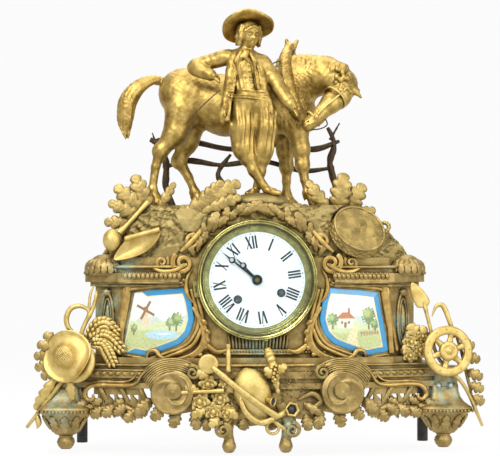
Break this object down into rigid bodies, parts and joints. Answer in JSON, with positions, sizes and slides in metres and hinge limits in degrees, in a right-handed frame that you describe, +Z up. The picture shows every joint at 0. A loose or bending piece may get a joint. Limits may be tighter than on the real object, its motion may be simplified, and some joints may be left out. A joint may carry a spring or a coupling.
{
  "type": "figural mantel clock",
  "caption": "Gilt-metal mantel clock with a herdsman and horse on a rock mound, a drum movement behind an opening glazed bezel, painted porcelain plaques and rustic trophies",
  "frame": {"origin": "on the table, under the middle of the overall box", "axes": "+X to the viewer's right, +Y to the back, +Z up; the dial faces -Y"},
  "size_m": [0.414, 0.1274, 0.3923],
  "materials": {
    "gilt_metal": "satin",
    "movement_brass": "satin",
    "steel": "satin",
    "glass": "gloss",
    "iron": "matte",
    "enamel": "gloss",
    "porcelain": "gloss"
  },
  "bodies": {
    "case": {"back_plate": "movement_brass", "base_aprons": "gilt_metal", "base_plinth": "gilt_metal", "bell": "movement_brass", "cart_wheel": "gilt_metal", "case_back": "gilt_metal", "case_front": "gilt_metal", "case_straps": "movement_brass", "centre_feet": "gilt_metal", "centre_gourd": "gilt_metal", "corner_feet": "gilt_metal", "dial": "enamel", "dial_ring": "movement_brass", "fence": "iron", "flower_bunch": "gilt_metal", "front_plate": "movement_brass", "garden_tools": "gilt_metal", "herdsman": "gilt_metal", "herdsman_hat": "gilt_metal", "horse_body": "gilt_metal", "horse_legs": "gilt_metal", "iron_wires": "iron", "ladle_and_scoop": "gilt_metal", "leaf_sprays": "gilt_metal", "plaque_left": "porcelain", "plaque_right": "porcelain", "rear_feet": "iron", "rear_ring": "movement_brass", "rock_mound": "gilt_metal", "round_basket": "gilt_metal", "rustic_pipes": "gilt_metal", "shepherd_crook": "gilt_metal", "side_leaves": "gilt_metal", "straw_hat": "gilt_metal", "suspension_cock": "movement_brass", "wheat_sheaf": "gilt_metal"},
    "bezel": {"bezel_ring": "movement_brass", "bezel_glass": "glass"},
    "rear_door": {"rear_door": "movement_brass"},
    "minute": {"minute_hand": "steel", "cannon_pinion": "movement_brass"},
    "hour": {"hour_hand": "steel", "hour_wheel": "movement_brass"},
    "minute_wheel": {"minute_wheel": "movement_brass"},
    "going_barrel": {"going_barrel": "movement_brass"},
    "strike_barrel": {"strike_barrel": "movement_brass"},
    "going_winding": {"going_winding_arbor": "steel"},
    "strike_winding": {"strike_winding_arbor": "steel"},
    "intermediate": {"intermediate_wheel": "movement_brass"},
    "centre": {"centre_wheel": "movement_brass"},
    "third": {"third_wheel": "movement_brass"},
    "escape": {"escape_wheel": "movement_brass"},
    "anchor": {"anchor_and_crutch": "steel"},
    "pendulum": {"pendulum_rod": "steel", "pendulum_bob": "movement_brass"},
    "strike_second": {"strike_second_wheel": "movement_brass"},
    "pin_wheel": {"pin_wheel": "movement_brass"},
    "fly": {"fly": "movement_brass"},
    "hammer": {"hammer": "steel"},
    "regulator": {"regulator_arbor": "steel"}
  },
  "joints": [
    {"name": "bezel_hinge", "type": "hinge", "parent": "case", "child": "bezel", "pos_m": [-0.05509, -0.04086, 0.14377], "axis": [0.1478, 0, -0.989], "range_deg": [0, 110]},
    {"name": "rear_door_hinge", "type": "hinge", "parent": "case", "child": "rear_door", "pos_m": [-0.04965, 0.05604, 0.14458], "axis": [-0.1478, 0, 0.989], "range_deg": [0, 110]},
    {"name": "minute_hand_turn", "type": "hinge", "parent": "case", "child": "minute", "pos_m": [0, -0.04186, 0.152], "axis": [0, 1, 0], "continuous": true},
    {"name": "hour_hand_turn", "type": "hinge", "parent": "case", "child": "hour", "pos_m": [0, -0.04056, 0.152], "axis": [0, 1, 0], "continuous": true},
    {"name": "minute_wheel_turn", "type": "hinge", "parent": "case", "child": "minute_wheel", "pos_m": [0.00177, -0.03256, 0.14013], "axis": [0, 1, 0], "continuous": true},
    {"name": "going_winding_turn", "type": "hinge", "parent": "case", "child": "going_winding", "pos_m": [0.02144, -0.03256, 0.14044], "axis": [0, 1, 0], "continuous": true},
    {"name": "strike_winding_turn", "type": "hinge", "parent": "case", "child": "strike_winding", "pos_m": [-0.01713, -0.03256, 0.13468], "axis": [0, 1, 0], "continuous": true},
    {"name": "third_wheel_turn", "type": "hinge", "parent": "case", "child": "third", "pos_m": [-0.00195, -0.01456, 0.16506], "axis": [0, 1, 0], "continuous": true},
    {"name": "centre_wheel_turn", "type": "hinge", "parent": "case", "child": "centre", "pos_m": [0, -0.01456, 0.152], "axis": [0, 1, 0], "continuous": true},
    {"name": "intermediate_wheel_turn", "type": "hinge", "parent": "case", "child": "intermediate", "pos_m": [0.01578, -0.01456, 0.16066], "axis": [0, 1, 0], "continuous": true},
    {"name": "going_barrel_turn", "type": "hinge", "parent": "case", "child": "going_barrel", "pos_m": [0.02144, -0.01856, 0.14044], "axis": [0, 1, 0], "continuous": true},
    {"name": "escape_wheel_turn", "type": "hinge", "parent": "case", "child": "escape", "pos_m": [-0.00376, -0.01456, 0.17717], "axis": [0, 1, 0], "continuous": true},
    {"name": "pin_wheel_turn", "type": "hinge", "parent": "case", "child": "pin_wheel", "pos_m": [-0.02171, -0.01456, 0.17269], "axis": [0, 1, 0], "continuous": true},
    {"name": "strike_second_wheel_turn", "type": "hinge", "parent": "case", "child": "strike_second", "pos_m": [-0.01762, -0.01456, 0.15567], "axis": [0, 1, 0], "continuous": true},
    {"name": "strike_barrel_turn", "type": "hinge", "parent": "case", "child": "strike_barrel", "pos_m": [-0.01713, -0.01856, 0.13468], "axis": [0, 1, 0], "continuous": true},
    {"name": "fly_turn", "type": "hinge", "parent": "case", "child": "fly", "pos_m": [-0.01377, -0.00956, 0.17794], "axis": [0, 1, 0], "continuous": true},
    {"name": "pendulum_swing", "type": "hinge", "parent": "case", "child": "pendulum", "pos_m": [-0.00518, 0.01044, 0.18666], "axis": [0, 1, 0], "range_deg": [-3, 3]},
    {"name": "anchor_rock", "type": "hinge", "parent": "case", "child": "anchor", "pos_m": [-0.00518, -0.00956, 0.18666], "axis": [0, 1, 0], "range_deg": [-3, 3]},
    {"name": "hammer_lift", "type": "hinge", "parent": "case", "child": "hammer", "pos_m": [-0.0352, 0.00544, 0.16089], "axis": [0, 1, 0], "range_deg": [0, 16], "stiffness_Nm_per_rad": 0.02},
    {"name": "regulator_turn", "type": "hinge", "parent": "case", "child": "regulator", "pos_m": [-0.00695, -0.01456, 0.19848], "axis": [0, 1, 0], "range_deg": [-180, 180]}
  ],
  "couplings": [
    {"joint": "hour_hand_turn", "follows": "minute_hand_turn", "ratio": 0.083333},
    {"joint": "minute_wheel_turn", "follows": "minute_hand_turn", "ratio": -0.33333},
    {"joint": "centre_wheel_turn", "follows": "third_wheel_turn", "ratio": -0.1},
    {"joint": "intermediate_wheel_turn", "follows": "third_wheel_turn", "ratio": 0.02},
    {"joint": "going_barrel_turn", "follows": "third_wheel_turn", "ratio": -0.0033333},
    {"joint": "escape_wheel_turn", "follows": "third_wheel_turn", "ratio": -11.25},
    {"joint": "strike_second_wheel_turn", "follows": "pin_wheel_turn", "ratio": -0.16667},
    {"joint": "strike_barrel_turn", "follows": "pin_wheel_turn", "ratio": 0.027778},
    {"joint": "fly_turn", "follows": "pin_wheel_turn", "ratio": -7.5},
    {"joint": "anchor_rock", "follows": "pendulum_swing", "ratio": 1}
  ]
}
